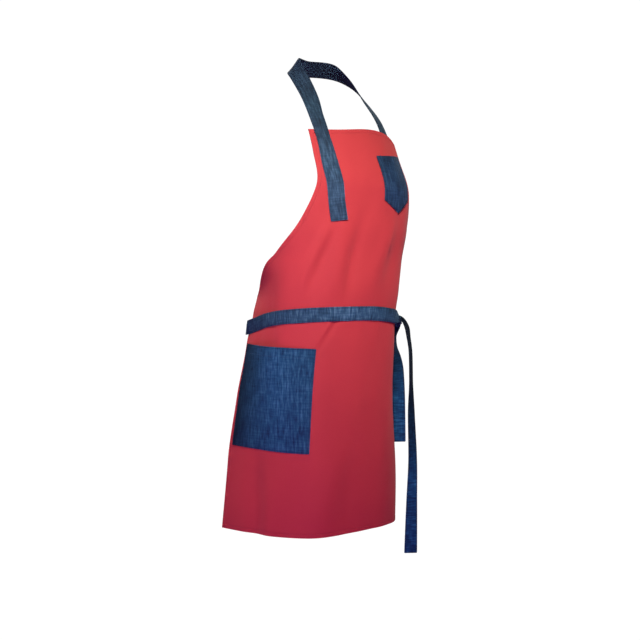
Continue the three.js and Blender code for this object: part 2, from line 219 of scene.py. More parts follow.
def rounded_line(points, count):
    """Evenly spaced points on a smooth curve through a few points in the plane."""
    points = np.array(points, float)
    padded = np.concatenate((points[:1], points, points[-1:]))
    t = np.linspace(0, 1, 40)[:, None]
    spans = []
    for row in range(1, len(padded) - 2):
        before, start, end, after = padded[row - 1:row + 3]
        spans.append(cubic_span(start, end, (end - before) / 2, (after - start) / 2, t)[:-1])
    return even_steps(np.concatenate(spans + [points[-1:]]), count)


def panel_edge(v):
    """Half width and height where a row of the panel ends, on the armhole or the side."""
    bib_share = (BIB_TOP - SIDE_CORNER) / (BIB_TOP - HEM)
    line = rounded_line(ARMHOLE, ARMHOLE_POINTS)
    share = np.linspace(0, bib_share, len(line))
    below = (v - bib_share) / (1 - bib_share)
    skirt_half = SIDE_HALF + (HEM_HALF - SIDE_HALF) * below
    skirt_z = SIDE_CORNER + (HEM - SIDE_CORNER) * below
    half = np.where(v < bib_share, np.interp(v, share, line[:, 0]), skirt_half)
    return half, np.where(v < bib_share, np.interp(v, share, line[:, 1]), skirt_z)


def panel_flat(u, v):
    """Where a point of the panel's cut lies, across and up."""
    sideways = 2 * u - 1
    half, edge_z = panel_edge(v)
    across = sideways * half
    level = BIB_TOP + (HEM - BIB_TOP) * v
    dip = (edge_z - level) * sideways ** 2
    arch = BIB_CROWN * (1 - sideways ** 2) + BIB_TILT * np.sin(math.pi * sideways)
    crown = arch * (1 - v) ** CROWN_FADE
    wave = (smooth_value(HEM_LINE["across"], HEM_LINE["z"], across) - HEM) * v ** HEM_FADE
    corner = np.clip((sideways - CORNER_START) / (1 - CORNER_START), 0, 1) ** 2 * (1 - v) ** CORNER_FADE
    return across, level + dip + crown + wave - CORNER_DROP * corner


def lay_cloth(name, columns, rows, place, flat):
    """A flat grid laid out by place(u, v), with its flat cut by flat(u, v) kept as its UV map."""
    bpy.ops.object.select_all(action="DESELECT")
    bpy.ops.mesh.primitive_grid_add(x_subdivisions=columns, y_subdivisions=rows, size=2)
    piece = bpy.context.active_object
    piece.name = name
    mesh = piece.data
    mesh.name = name
    corners = np.empty(len(mesh.vertices) * 3)
    mesh.vertices.foreach_get("co", corners)
    corners = corners.reshape(-1, 3)
    u = (corners[:, 0] + 1) / 2
    v = (1 - corners[:, 1]) / 2
    mesh.vertices.foreach_set("co", (place(u, v) * MM).ravel())
    cut = np.stack(flat(u, v), axis=1) * MM
    order = np.empty(len(mesh.loops), int)
    mesh.loops.foreach_get("vertex_index", order)
    mesh.uv_layers[0].name = "flat"
    mesh.uv_layers[0].data.foreach_set("uv", cut[order].ravel())
    mesh.update()
    return piece, u, v


def mark(piece, name, values):
    """Keeps a value for each point, such as its distance from the cloth's edge, for the material."""
    attribute = piece.data.attributes.new(name, "FLOAT", "POINT")
    attribute.data.foreach_set("value", np.asarray(values, np.float32))


def give_thickness(piece, thickness, weights=None, rounding=0):
    """Makes a laid sheet a wall about its middle. Weights thin it, and rounding softens its edges."""
    wall = piece.modifiers.new("wall", "SOLIDIFY")
    wall.thickness = thickness * MM
    wall.offset = 0
    if weights is not None:
        group = piece.vertex_groups.new(name="full")
        for index, weight in enumerate(weights):
            group.add([index], float(weight), "REPLACE")
        wall.vertex_group = "full"
    bpy.context.view_layer.objects.active = piece
    bpy.ops.object.modifier_apply(modifier="wall")
    if rounding:
        soft = piece.modifiers.new("rounding", "SUBSURF")
        soft.levels = rounding
        soft.render_levels = rounding
        bpy.ops.object.modifier_apply(modifier="rounding")
    bpy.ops.object.select_all(action="DESELECT")
    piece.select_set(True)
    bpy.ops.object.shade_smooth_by_angle(angle=SMOOTH_ANGLE)


def add_node(tree, kind, inputs, **settings):
    """A shader node with its settings, and its inputs linked or set."""
    node = tree.nodes.new(kind)
    for name, value in settings.items():
        setattr(node, name, value)
    for key, value in inputs.items():
        if isinstance(value, bpy.types.NodeSocket):
            tree.links.new(value, node.inputs[key])
        else:
            node.inputs[key].default_value = value
    return node


def calc(tree, operation, first, second=0.0):
    """One step of arithmetic between shader values."""
    return add_node(tree, "ShaderNodeMath", {0: first, 1: second}, operation=operation).outputs[0]


def blend_colour(tree, share, first, second):
    """A colour between two, by share."""
    inputs = {"Factor": share, "A": first, "B": second}
    node = tree.nodes.new("ShaderNodeMix")
    node.data_type = "RGBA"
    colours = {"Factor": node.inputs[0], "A": node.inputs[6], "B": node.inputs[7]}
    for key, value in inputs.items():
        if isinstance(value, bpy.types.NodeSocket):
            tree.links.new(value, colours[key])
        else:
            colours[key].default_value = value
    return node.outputs[2]


def new_group(name, values, outputs):
    """An empty shader node group that takes a place on the cloth and named values."""
    tree = bpy.data.node_groups.new(name, "ShaderNodeTree")
    tree.interface.new_socket("Place", in_out="INPUT", socket_type="NodeSocketVector")
    for socket_name in values:
        tree.interface.new_socket(socket_name, in_out="INPUT", socket_type="NodeSocketFloat")
    for socket_name in outputs:
        tree.interface.new_socket(socket_name, in_out="OUTPUT", socket_type="NodeSocketFloat")
    return tree, tree.nodes.new("NodeGroupInput"), tree.nodes.new("NodeGroupOutput")


def make_woven_threads():
    """Threads that go over and under each other. Repeat 2 is a plain weave and 3 a twill."""
    tree, given, result = new_group("woven_threads", ("Threads", "Repeat"), ("Height", "Warp"))
    parts = add_node(tree, "ShaderNodeSeparateXYZ", {0: given.outputs["Place"]})
    warp_place = calc(tree, "MULTIPLY", parts.outputs[0], given.outputs["Threads"])
    weft_place = calc(tree, "MULTIPLY", parts.outputs[1], given.outputs["Threads"])
    warp_round, weft_round = (
        calc(tree, "ABSOLUTE", calc(tree, "SINE", calc(tree, "MULTIPLY", thread, math.pi)))
        for thread in (warp_place, weft_place)
    )
    cell = calc(tree, "ADD", calc(tree, "FLOOR", warp_place), calc(tree, "FLOOR", weft_place))
    on_top = calc(tree, "GREATER_THAN", calc(tree, "FLOORED_MODULO", cell, given.outputs["Repeat"]), 0.5)
    warp_height = calc(tree, "MULTIPLY", warp_round, on_top)
    weft_height = calc(tree, "MULTIPLY", weft_round, calc(tree, "SUBTRACT", 1.0, on_top))
    tree.links.new(calc(tree, "ADD", warp_height, weft_height), result.inputs["Height"])
    tree.links.new(on_top, result.inputs["Warp"])
    return tree


GROOVE_WIDTH = 1.1
PUCKER_WIDTH = 4.5
WORN_WIDTH = 2.2
PUCKER_SHARE = 1.6


def make_sewn_edge():
    """The hem along a cloth's edge: a groove where it is sewn, puckers beside it, and wear on the fold."""
    tree, given, result = new_group("sewn_edge", ("Seam", "Pucker"), ("Height", "Groove", "Worn"))
    edge = add_node(tree, "ShaderNodeAttribute", {}, attribute_name="edge").outputs["Fac"]
    from_seam = calc(tree, "SUBTRACT", edge, given.outputs["Seam"])

    def bell(width):
        away = calc(tree, "DIVIDE", from_seam, width)
        return calc(tree, "EXPONENT", calc(tree, "MULTIPLY", calc(tree, "MULTIPLY", away, away), -1.0))

    groove = bell(GROOVE_WIDTH)
    ripples = add_node(
        tree, "ShaderNodeTexNoise",
        {"Vector": given.outputs["Place"], "Scale": given.outputs["Pucker"], "Detail": 1.0},
    )
    pucker = calc(tree, "MULTIPLY", bell(PUCKER_WIDTH), calc(tree, "SUBTRACT", ripples.outputs[0], 0.5))
    height = calc(tree, "SUBTRACT", calc(tree, "MULTIPLY", pucker, PUCKER_SHARE), groove)
    rubbed = calc(tree, "SUBTRACT", 1.0, calc(tree, "DIVIDE", edge, WORN_WIDTH))
    worn = calc(tree, "MULTIPLY", calc(tree, "MAXIMUM", rubbed, 0.0), ripples.outputs[0])
    tree.links.new(height, result.inputs["Height"])
    tree.links.new(groove, result.inputs["Groove"])
    tree.links.new(worn, result.inputs["Worn"])
    return tree


woven_threads = make_woven_threads()
sewn_edge = make_sewn_edge()


def new_material(name):
    """A material with its shader, and the place on the flat cut that its patterns follow."""
    material = bpy.data.materials.new(name)
    material.use_nodes = True
    tree = material.node_tree
    place = add_node(tree, "ShaderNodeUVMap", {}, uv_map="flat").outputs[0]
    return material, tree, tree.nodes["Principled BSDF"], place


def place_group(tree, group, inputs):
    """A node group set into a material."""
    return add_node(tree, "ShaderNodeGroup", inputs, node_tree=group)


def tint(tree, colour, other, mask, share):
    """A colour with a share of another blended in where the mask is."""
    return blend_colour(tree, calc(tree, "MULTIPLY", mask, share), colour, (*other, 1))


def add_relief(tree, shader, weave, hem, strength, depth):
    """Bumps of the weave, and over them the groove and puckers of the hem."""
    fine = add_node(tree, "ShaderNodeBump", {"Strength": strength, "Distance": depth, "Height": weave})
    coarse = add_node(
        tree, "ShaderNodeBump",
        {"Strength": 0.6, "Distance": 0.0006, "Height": hem, "Normal": fine.outputs[0]},
    )
    tree.links.new(coarse.outputs[0], shader.inputs["Normal"])


def set_shader(shader, values):
    """Plain values of a shader's sockets."""
    for name, value in values.items():
        shader.inputs[name].default_value = value


RED_DARK = (0.48, 0.023, 0.036)
RED_LIGHT = (0.57, 0.031, 0.044)
RED_YARN = (0.42, 0.028, 0.034)
RED_WEFT = (0.38, 0.024, 0.030)
RED_GROOVE_SHADE = (0.28, 0.012, 0.02)


def make_red_cotton():
    """Red cotton drill: a fine twill, slightly uneven in its dye, with sewn hems and painted shade along
    their grooves.
    """
    material, tree, shader, place = new_material("red_cotton")
    weave = place_group(tree, woven_threads, {"Place": place, "Threads": 1500.0, "Repeat": 3.0})
    hem = place_group(tree, sewn_edge, {"Place": place, "Seam": PANEL_SEAM, "Pucker": 110.0})
    dye = add_node(tree, "ShaderNodeTexNoise", {"Vector": place, "Scale": 11.0, "Detail": 4.0}).outputs[0]
    yarn = add_node(tree, "ShaderNodeTexNoise", {"Vector": place, "Scale": 420.0, "Detail": 2.0}).outputs[0]
    colour = blend_colour(tree, dye, (*RED_DARK, 1), (*RED_LIGHT, 1))
    colour = tint(tree, colour, RED_YARN, yarn, share=0.35)
    under = calc(tree, "SUBTRACT", 1.0, weave.outputs["Warp"])
    colour = tint(tree, colour, RED_WEFT, under, share=0.25)
    # Painted shade along the sewn groove of the hem
    colour = tint(tree, colour, RED_GROOVE_SHADE, hem.outputs["Groove"], share=0.18)
    tree.links.new(colour, shader.inputs["Base Color"])
    rough = calc(tree, "ADD", 0.78, calc(tree, "MULTIPLY", yarn, 0.15))
    tree.links.new(rough, shader.inputs["Roughness"])
    add_relief(
        tree, shader, weave.outputs["Height"], hem.outputs["Height"], strength=0.25, depth=0.0002
    )
    set_shader(shader, {
        "Diffuse Roughness": 0.5, "Specular IOR Level": 0.5,
        "Sheen Weight": 0.10, "Sheen Roughness": 0.5, "Sheen Tint": (0.9, 0.3, 0.3, 1),
    })
    return material


TOP_POINTS = 120
SIDE_POINTS = 400
EDGE_POINTS = 500
EDGE_BATCH = 4000


def outline_parts():
    """The panel's cut edges on the flat, each as points with the direction into the cloth."""
    top_u = np.linspace(0, 1, TOP_POINTS)
    top = np.stack(panel_flat(top_u, np.zeros_like(top_u)), axis=1)
    bottom = np.stack(panel_flat(top_u, np.ones_like(top_u)), axis=1)
    down = np.linspace(0, 1, SIDE_POINTS)
    left = np.stack(panel_flat(np.ones_like(down), down), axis=1)
    right = np.stack(panel_flat(np.zeros_like(down), down), axis=1)
    return {"top": (top, -1), "hem": (bottom, 1), "left side": (left, -1), "right side": (right, 1)}


def edge_distance(across, z):
    """How far points of the panel's cut lie from its nearest edge."""
    line = np.concatenate([even_steps(points, EDGE_POINTS) for points, side in outline_parts().values()])
    nearest = np.empty(len(across))
    for first in range(0, len(across), EDGE_BATCH):
        part = slice(first, first + EDGE_BATCH)
        gaps = (across[part, None] - line[:, 0]) ** 2 + (z[part, None] - line[:, 1]) ** 2
        nearest[part] = np.sqrt(gaps.min(axis=1))
    return nearest


WAIST = -500.0
GATHER_BAND = 30.0
EASE_SEED = 11
EASE_WAVES = 9
EASE_LENGTHS = (45, 130)
EASE_TURN = 0.5
EASE_DEPTH = 0.15
PUCKER_STEP = 4.1
PUCKER_DRIFT = 1.3
PUCKER_DRIFT_STEP = 17
PUCKER_DEPTH = 0.22


def panel_ease(across, z):
    """The slight unevenness of hung cotton: long undulations, and puckers where the tie draws it in."""
    draws = np.random.default_rng(EASE_SEED)
    lift = np.zeros_like(z)
    for wave in range(EASE_WAVES):
        length = draws.uniform(*EASE_LENGTHS)
        turn = draws.uniform(-EASE_TURN, EASE_TURN)
        phase = draws.uniform(0, 2 * math.pi)
        lift = lift + np.sin((across * math.cos(turn) + z * math.sin(turn)) * 2 * math.pi / length + phase)
    gather = np.exp(-((z - WAIST) / GATHER_BAND) ** 2)
    drift = PUCKER_DRIFT * np.sin(across / PUCKER_DRIFT_STEP)
    pull = np.sin(across / PUCKER_STEP + drift) * gather
    return EASE_DEPTH * lift + PUCKER_DEPTH * pull


HEM_RISE = 0.25
HEM_RISE_PAST_SEAM = 1.5
HEM_RISE_OVER = 2
SEAM_SINK = 0.2
SEAM_SINK_WIDTH = 1.8


def panel_place(u, v):
    """The panel's middle surface, with its hem drawn a little thicker."""
    across, z = panel_flat(u, v)
    distance = edge_distance(across, z)
    hem = HEM_RISE * np.clip((PANEL_SEAM + HEM_RISE_PAST_SEAM - distance) / HEM_RISE_OVER, 0, 1)
    groove = -SEAM_SINK * np.exp(-((distance - PANEL_SEAM) / SEAM_SINK_WIDTH) ** 2)
    return worn_point(across, z, panel_ease(across, z) + hem + groove)


def finish_piece(piece, material=None, node=None):
    """Gives a piece its material, fixes it to the apron, and hides the solid that it stands for."""
    if material:
        piece.data.materials.append(material)
    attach(piece, "root")
    if node:
        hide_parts(node)


def near_edges(share, cells, band, band_cells):
    """Spreads evenly spaced places so that a band at each end holds more of them."""
    return np.interp(share, (0, band_cells / cells, 1 - band_cells / cells, 1), (0, band, 1 - band, 1))


HEM_COLUMNS = 8
HEM_COLUMNS_SHARE = 0.022
HEM_ROWS = 7
HEM_ROWS_SHARE = 0.018


def dense_panel(u, v):
    """Columns and rows of the panel's grid, closer together along its hems."""
    return (
        near_edges(u, PANEL_COLUMNS, HEM_COLUMNS_SHARE, HEM_COLUMNS),
        near_edges(v, PANEL_ROWS, HEM_ROWS_SHARE, HEM_ROWS),
    )


panel, grid_u, grid_v = lay_cloth(
    "apron_panel_cloth", PANEL_COLUMNS, PANEL_ROWS,
    lambda u, v: panel_place(*dense_panel(u, v)),
    lambda u, v: panel_flat(*dense_panel(u, v)),
)
panel_cut = panel_flat(*dense_panel(grid_u, grid_v))
mark(panel, "edge", edge_distance(*panel_cut))
give_thickness(panel, PANEL_THICKNESS)
red_cotton = make_red_cotton()
finish_piece(panel, red_cotton, "apron_panel")


# Panel hems. The cotton's edges are turned to the inside and sewn down all round.
# Each hem is a narrow band of the same cloth that lies against the panel's inner face.
HEM_WIDTH = 10.0
HEM_THICKNESS = 0.8
HEM_INSET = 0.5
HEM_GAP = 0.1
HEM_LIFT = -(PANEL_THICKNESS + HEM_THICKNESS) / 2 - HEM_GAP
HEM_LINE_POINTS = 240
HEM_CELLS = (5, 220)


def unit(vectors):
    """Vectors made one long."""
    return vectors / np.linalg.norm(vectors, axis=-1, keepdims=True)


def along_line(rows, at):
    """Values between the rows of a line, at places counted in rows."""
    index = np.arange(len(rows))
    return np.stack([np.interp(at, index, rows[:, axis]) for axis in range(rows.shape[1])], axis=1)


def hem_band(name, line, side):
    """A band inside an edge of the panel, as wide as the turned hem."""
    line = even_steps(line, HEM_LINE_POINTS)

    def flat(u, v):
        at = v * (len(line) - 1)
        way = unit(along_line(np.gradient(line, axis=0), at))
        inwards = side * np.stack((-way[:, 1], way[:, 0]), axis=1)
        spot = along_line(line, at) + inwards * (HEM_INSET + (HEM_WIDTH - HEM_INSET) * u)[:, None]
        return spot[:, 0], spot[:, 1]

    def place(u, v):
        across, z = flat(u, v)
        return worn_point(across, z, panel_ease(across, z) + HEM_LIFT)

    band, u, v = lay_cloth(name, *HEM_CELLS, place, flat)
    mark(band, "edge", HEM_WIDTH * (1 - u))
    give_thickness(band, HEM_THICKNESS)
    band.data.materials.append(red_cotton)
    return band


def join_pieces(name, pieces):
    """Several meshes made one."""
    bpy.ops.object.select_all(action="DESELECT")
    for piece in pieces:
        piece.select_set(True)
    bpy.context.view_layer.objects.active = pieces[0]
    bpy.ops.object.join()
    pieces[0].name = name
    pieces[0].data.name = name
    return pieces[0]


panel_hems = join_pieces(
    "panel_hems",
    [hem_band("hem " + name, line, side) for name, (line, side) in outline_parts().items()],
)
finish_piece(panel_hems)


# Panel stitches. Red cotton thread, one row of lockstitch all round the panel.
# The row holds the turned hem down, and is seen on the outer and the inner face.
STITCH_LENGTH = 2.5
STITCH_PITCH = 3.2
THREAD = 0.55
OUTER_STITCH_SINK = 0.1
INNER_STITCH_PROUD = 0.05
SEAM_POINTS = 400

# A direction that no seam follows, from which the beads are turned to their seam
SLANT = (0.3, 0.5, 0.81)


def sew(name, rows, material):
    """Rows of stitches. Each row is a line on the cloth, and each stitch a short bead of thread."""
    bpy.ops.object.select_all(action="DESELECT")
    bpy.ops.mesh.primitive_uv_sphere_add(segments=6, ring_count=4, radius=1)
    bead = bpy.context.active_object
    corners = np.array([corner.co for corner in bead.data.vertices])
    corners = corners * (THREAD / 2, THREAD / 2, STITCH_LENGTH / 2)
    sides = [list(face.vertices) for face in bead.data.polygons]
    bpy.data.objects.remove(bead)
    points = []
    faces = []
    for line in rows:
        length = np.linalg.norm(np.diff(line, axis=0), axis=1).sum()
        places = even_steps(line, max(int(length / STITCH_PITCH), 2) + 1)
        middles = (places[1:] + places[:-1]) / 2
        for middle, way in zip(middles, unit(np.diff(places, axis=0))):
            aside = unit(np.cross(way, SLANT))
            turned = np.stack((aside, np.cross(way, aside), way))
            faces.extend([[corner + len(points) * len(corners) for corner in side] for side in sides])
            points.append(corners @ turned + middle)
    mesh = bpy.data.meshes.new(name)
    mesh.from_pydata((np.concatenate(points) * MM).tolist(), [], faces)
    mesh.polygons.foreach_set("use_smooth", [True] * len(mesh.polygons))
    piece = bpy.data.objects.new(name, mesh)
    bpy.context.scene.collection.objects.link(piece)
    finish_piece(piece, material)
    return piece


def make_thread(name, colour, dark):
    """Twisted sewing thread."""
    material = bpy.data.materials.new(name)
    material.use_nodes = True
    tree = material.node_tree
    shader = tree.nodes["Principled BSDF"]
    place = add_node(tree, "ShaderNodeTexCoord", {}).outputs["Object"]
    twist = add_node(tree, "ShaderNodeTexNoise", {"Vector": place, "Scale": 900.0, "Detail": 1.0}).outputs[0]
    tree.links.new(blend_colour(tree, twist, dark, colour), shader.inputs["Base Color"])
    rough = calc(tree, "ADD", 0.5, calc(tree, "MULTIPLY", twist, 0.3))
    tree.links.new(rough, shader.inputs["Roughness"])
    bump = add_node(tree, "ShaderNodeBump", {"Strength": 0.4, "Distance": 0.0001, "Height": twist})
    tree.links.new(bump.outputs[0], shader.inputs["Normal"])
    return material


def panel_seams():
    """The sewn line along each edge, on the outer and the inner face."""
    rows = []
    for line, side in outline_parts().values():
        line = even_steps(line, SEAM_POINTS)
        way = unit(np.gradient(line, axis=0))
        seam = line + side * PANEL_SEAM * np.stack((-way[:, 1], way[:, 0]), axis=1)
        across, z = seam[:, 0], seam[:, 1]
        ease = panel_ease(across, z)
        rows.append(worn_point(across, z, ease + PANEL_THICKNESS / 2 - OUTER_STITCH_SINK))
        rows.append(worn_point(across, z, ease + HEM_LIFT - HEM_THICKNESS / 2 - INNER_STITCH_PROUD))
    return rows


red_thread = make_thread("red_thread", (0.55, 0.045, 0.055, 1), (0.34, 0.02, 0.03, 1))
panel_stitches = sew("panel_stitches", panel_seams(), red_thread)


# Neck strap. One folded and edge-sewn band of navy denim. It is sewn behind the bib's top edge at the
# wearer's left, goes round the nape, is sewn to the top edge at the right, and its end lies on the bib.
PIECE_GAP = 1.0
STRAP_THICKNESS = 2.0
NECK_STRAP_WIDTH = 35.0
NECK_SEAM_EASE = 0.8
NECK_DRAWN_IN = 0.15
NECK_DRAWN_AT = 10
NECK_DRAWN_OVER = 36
STRAP_STEP = 12.0
STRAP_SEAM = 2.6
STRAP_COLUMNS = 10
STRAP_ROW = 4.0
STRAP_STITCH_SINK = 0.3
STRAP_SPAN_POINTS = 24
STRAP_EDGE_SHARE = 0.62
STRAP_PUFF_OVER = 5
CROSSING_POINTS = 12
FREE_END_LENGTH = 177.0
END_HEM = 12.0
PLEAT_DEPTH = 2.4
PLEATS = 2.5

# Turn is the direction of the outer edge, from sideways to the back, and drop is how far it tips down
NECK_ROUTE = table(
    ("place", "x", "y", "z", "side", "turn", "drop"),
    (
        ("left chest", 84.0, -121.0, -109.0, 1, 22.0, 0.0),
        ("left collarbone", 82.0, -92.0, -73.0, 1, 26.0, 3.0),
        ("left neck", 72.0, -55.0, -28.0, 1, 32.0, 28.0),
        ("left crest", 55.0, -22.0, -3.0, 1, 44.0, 54.0),
        ("nape", 0.0, 0.0, 0.0, -1, 90.0, 58.0),
        ("right crest", -55.0, -22.0, -3.0, -1, 44.0, 54.0),
        ("right neck", -68.0, -51.0, -28.0, -1, 26.0, 34.0),
        ("right collarbone", -76.5, -88.5, -73.0, -1, 22.0, 12.0),
        ("right chest", -91.0, -118.5, -109.0, -1, 13.0, 2.0),
    ),
)
NECK_SEAM = table(("across", "z"), ((91.0, -176.0), (91.0, -144.0)))
NECK_FREE_END = table(
    ("across", "z"),
    ((-97.0, -144.0), (-98.0, -180.0), (-100.5, -222.0), (-97.0, -270.0), (-90.0, -319.0)),
)


def bib_stations(route, side, lift):
    """Places of a strap on the bib, with the direction of its outer edge."""
    steps = round(abs(route["z"][-1] - route["z"][0]) / STRAP_STEP)
    z = np.linspace(route["z"][0], route["z"][-1], steps + 1)
    across = smooth_value(route["z"], route["across"], z)
    middle = worn_point(across, z, lift)
    edge = worn_point(across + side * NECK_STRAP_WIDTH / 2, z, lift)
    return middle, unit(edge - middle)


def neck_stations():
    """The strap's middle and outward direction, from the left seam to the free end."""
    on_bib = (PANEL_THICKNESS + STRAP_THICKNESS) / 2 + PIECE_GAP
    seam = bib_stations(NECK_SEAM, 1, -on_bib - NECK_SEAM_EASE)
    free = bib_stations(NECK_FREE_END, -1, on_bib)
    turn = np.radians(NECK_ROUTE["turn"])
    drop = np.tan(np.radians(NECK_ROUTE["drop"]))
    middle = np.stack((NECK_ROUTE["x"], NECK_ROUTE["y"], NECK_ROUTE["z"]), axis=1)
    outward = unit(np.stack((NECK_ROUTE["side"] * np.cos(turn), np.sin(turn), -drop), axis=1))
    return np.concatenate((seam[0], middle, free[0])), np.concatenate((seam[1], outward, free[1]))


def curve_through(points, per_span):
    """A smooth curve through points in space, with the same count of points on every span."""
    padded = np.concatenate((2 * points[:1] - points[1:2], points, 2 * points[-1:] - points[-2:-1]))
    t = np.linspace(0, 1, per_span, endpoint=False)[:, None]
    spans = []
    for row in range(1, len(padded) - 2):
        before, start, end, after = padded[row - 1:row + 3]
        steps = (start - before, end - start, after - end)
        gaps = [max(math.sqrt(np.linalg.norm(step)), 0.01) for step in steps]
        leave = (start - before) / gaps[0] - (end - before) / (gaps[0] + gaps[1]) + (end - start) / gaps[1]
        arrive = (end - start) / gaps[1] - (after - start) / (gaps[1] + gaps[2]) + (after - end) / gaps[2]
        spans.append(cubic_span(start, end, leave * gaps[1], arrive * gaps[1], t))
    return np.concatenate(spans + [points[-1:]])


class Strap:
    """The run of a strap: its middle, the direction of its width and its face, by share of its length."""

    def __init__(self, middles, outwards, width):
        line = curve_through(middles, STRAP_SPAN_POINTS)
        wide = curve_through(outwards, STRAP_SPAN_POINTS)
        steps = np.linalg.norm(np.diff(line, axis=0), axis=1)
        self.places = np.concatenate(([0.0], np.cumsum(steps)))
        self.length = self.places[-1]
        self.line = line
        way = unit(np.gradient(line, axis=0))
        self.wide = unit(wide - way * (wide * way).sum(axis=1, keepdims=True))
        self.face = np.cross(way, self.wide)
        self.width = width

    def at(self, share, aside, lift=0.0):
        """A point by share of the length, share of the width from the middle, and lift off the face."""
        where = share * self.length
        row = np.interp(where, self.places, np.arange(len(self.places)))
        spread = (aside * self.width(where, self.length) / 2)[:, None] * unit(along_line(self.wide, row))
        rise = np.broadcast_to(lift, where.shape)[:, None] * unit(along_line(self.face, row))
        return along_line(self.line, row) + spread + rise


def streaks(tree, place, across, along, detail):
    """Noise drawn out along the threads, by how often it changes in a metre."""
    drawn = add_node(tree, "ShaderNodeMapping", {"Vector": place, "Scale": (across, along, 1.0)}).outputs[0]
    return add_node(tree, "ShaderNodeTexNoise", {"Vector": drawn, "Scale": 1.0, "Detail": detail}).outputs[0]


DENIM_WEFT = (0.06, 0.10, 0.19)
DENIM_WORN = (0.14, 0.21, 0.36)
DENIM_GROOVE_SHADE = (0.006, 0.012, 0.035)
DENIM_PAINTED_SHADE = (0.002, 0.003, 0.008)
DENIM_STOPS = (0.34, 0.50, 0.70)


def make_navy_denim(name, seam, colours, gloss):
    """Indigo denim: dark warp threads over a pale weft, with uneven slub threads, rubbed on the edges.
    Its colours are those of its dark, middling and pale threads, set for the light that falls on each piece.
    Painted shade darkens it in the sewn groove, and towards near black where the painted shade is marked."""
    material, tree, shader, place = new_material(name)
    weave = place_group(tree, woven_threads, {"Place": place, "Threads": 1150.0, "Repeat": 3.0})
    hem = place_group(tree, sewn_edge, {"Place": place, "Seam": seam, "Pucker": 130.0})
    slub = streaks(tree, place, across=260.0, along=34.0, detail=3.0)
    fine = streaks(tree, place, across=700.0, along=80.0, detail=2.0)
    weft = streaks(tree, place, across=40.0, along=300.0, detail=2.0)
    wash = add_node(tree, "ShaderNodeTexNoise", {"Vector": place, "Scale": 16.0, "Detail": 2.0}).outputs[0]
    shade = calc(tree, "MULTIPLY", slub, 0.53)
    for part, share in ((fine, 0.26), (weft, 0.21), (calc(tree, "SUBTRACT", wash, 0.5), 0.25)):
        shade = calc(tree, "ADD", shade, calc(tree, "MULTIPLY", part, share))
    ramp = add_node(tree, "ShaderNodeValToRGB", {"Fac": shade})
    ramp.color_ramp.elements.new(DENIM_STOPS[1])
    for stop, position, colour in zip(ramp.color_ramp.elements, DENIM_STOPS, colours):
        stop.position = position
        stop.color = (*colour, 1)
    painted_shade = add_node(tree, "ShaderNodeAttribute", {}, attribute_name="painted_shade").outputs["Fac"]
    under = calc(tree, "SUBTRACT", 1.0, weave.outputs["Warp"])
    colour = tint(tree, ramp.outputs[0], DENIM_WEFT, under, share=0.22)
    colour = tint(tree, colour, DENIM_WORN, hem.outputs["Worn"], share=0.15)
    # Painted shade along the sewn groove, a dark outline beside the seam
    colour = tint(tree, colour, DENIM_GROOVE_SHADE, hem.outputs["Groove"], share=0.5)
    # Painted shade: near black blended in where the piece is marked as shaded
    colour = tint(tree, colour, DENIM_PAINTED_SHADE, painted_shade, share=0.96)
    tree.links.new(colour, shader.inputs["Base Color"])
    rough = calc(tree, "ADD", 0.75, calc(tree, "MULTIPLY", fine, 0.2))
    tree.links.new(rough, shader.inputs["Roughness"])
    height = calc(tree, "ADD", weave.outputs["Height"], calc(tree, "MULTIPLY", fine, 0.8))
    add_relief(tree, shader, height, hem.outputs["Height"], strength=0.25, depth=0.0003)
    set_shader(shader, {"Diffuse Roughness": 1.0, "Specular IOR Level": gloss})
    return material


def strap_seams(strap, width, crossings):
    """The sewn lines along both edges of a strap and across it, on both of its faces."""
    aside = 1 - 2 * STRAP_SEAM / width
    share = np.linspace(0, 1, int(strap.length / STRAP_ROW))
    lift = STRAP_THICKNESS / 2 - STRAP_STITCH_SINK
    seams = [strap.at(share, edge * aside, face * lift) for edge in (-1, 1) for face in (-1, 1)]
    span = np.linspace(-1, 1, CROSSING_POINTS) * aside
    for crossing in crossings:
        share = np.full_like(span, crossing / strap.length)
        seams.extend(strap.at(share, span, face * STRAP_THICKNESS / 2) for face in (1, -1))
    return seams


def grid_edge(u, v, width, length):
    """How far points of a laid grid are from its nearest edge."""
    return np.minimum(np.minimum(u, 1 - u) * width, np.minimum(v, 1 - v) * length)


def puff(edge, share, start, over):
    """How thick a band or patch is: a share of its full thickness at its sewn edge, and full further in."""
    return share + (1 - share) * np.clip((edge - start) / over, 0, 1)


def make_strap(name, strap, width, denim, flip, painted_shade, crossings):
    """A folded band along a run, thinner at its sewn edges. Flip turns the cloth's warp across the band.
    Painted shade darkens the denim by the given amounts at distances along it, and crossings give its seams
    across."""

    def place(u, v):
        gathered = 1 - strap.width(v * strap.length, strap.length) / width
        return strap.at(v, 2 * u - 1, PLEAT_DEPTH * gathered * np.cos(PLEATS * math.pi * (2 * u - 1)))

    def flat(u, v):
        across = (u - 0.5) * width
        along = v * strap.length
        return (along, across) if flip else (across, along)

    band, u, v = lay_cloth(name + "_band", STRAP_COLUMNS, int(strap.length / STRAP_ROW), place, flat)
    edge = grid_edge(u, v, width, strap.length)
    mark(band, "edge", edge)
    mark(band, "painted_shade", np.interp(v * strap.length, *painted_shade))
    thickness = puff(edge, STRAP_EDGE_SHARE, STRAP_SEAM, STRAP_PUFF_OVER)
    give_thickness(band, STRAP_THICKNESS, thickness, rounding=1)
    finish_piece(band, denim, name)
    stitches = sew(name + "_stitches", strap_seams(strap, width, crossings), navy_thread)


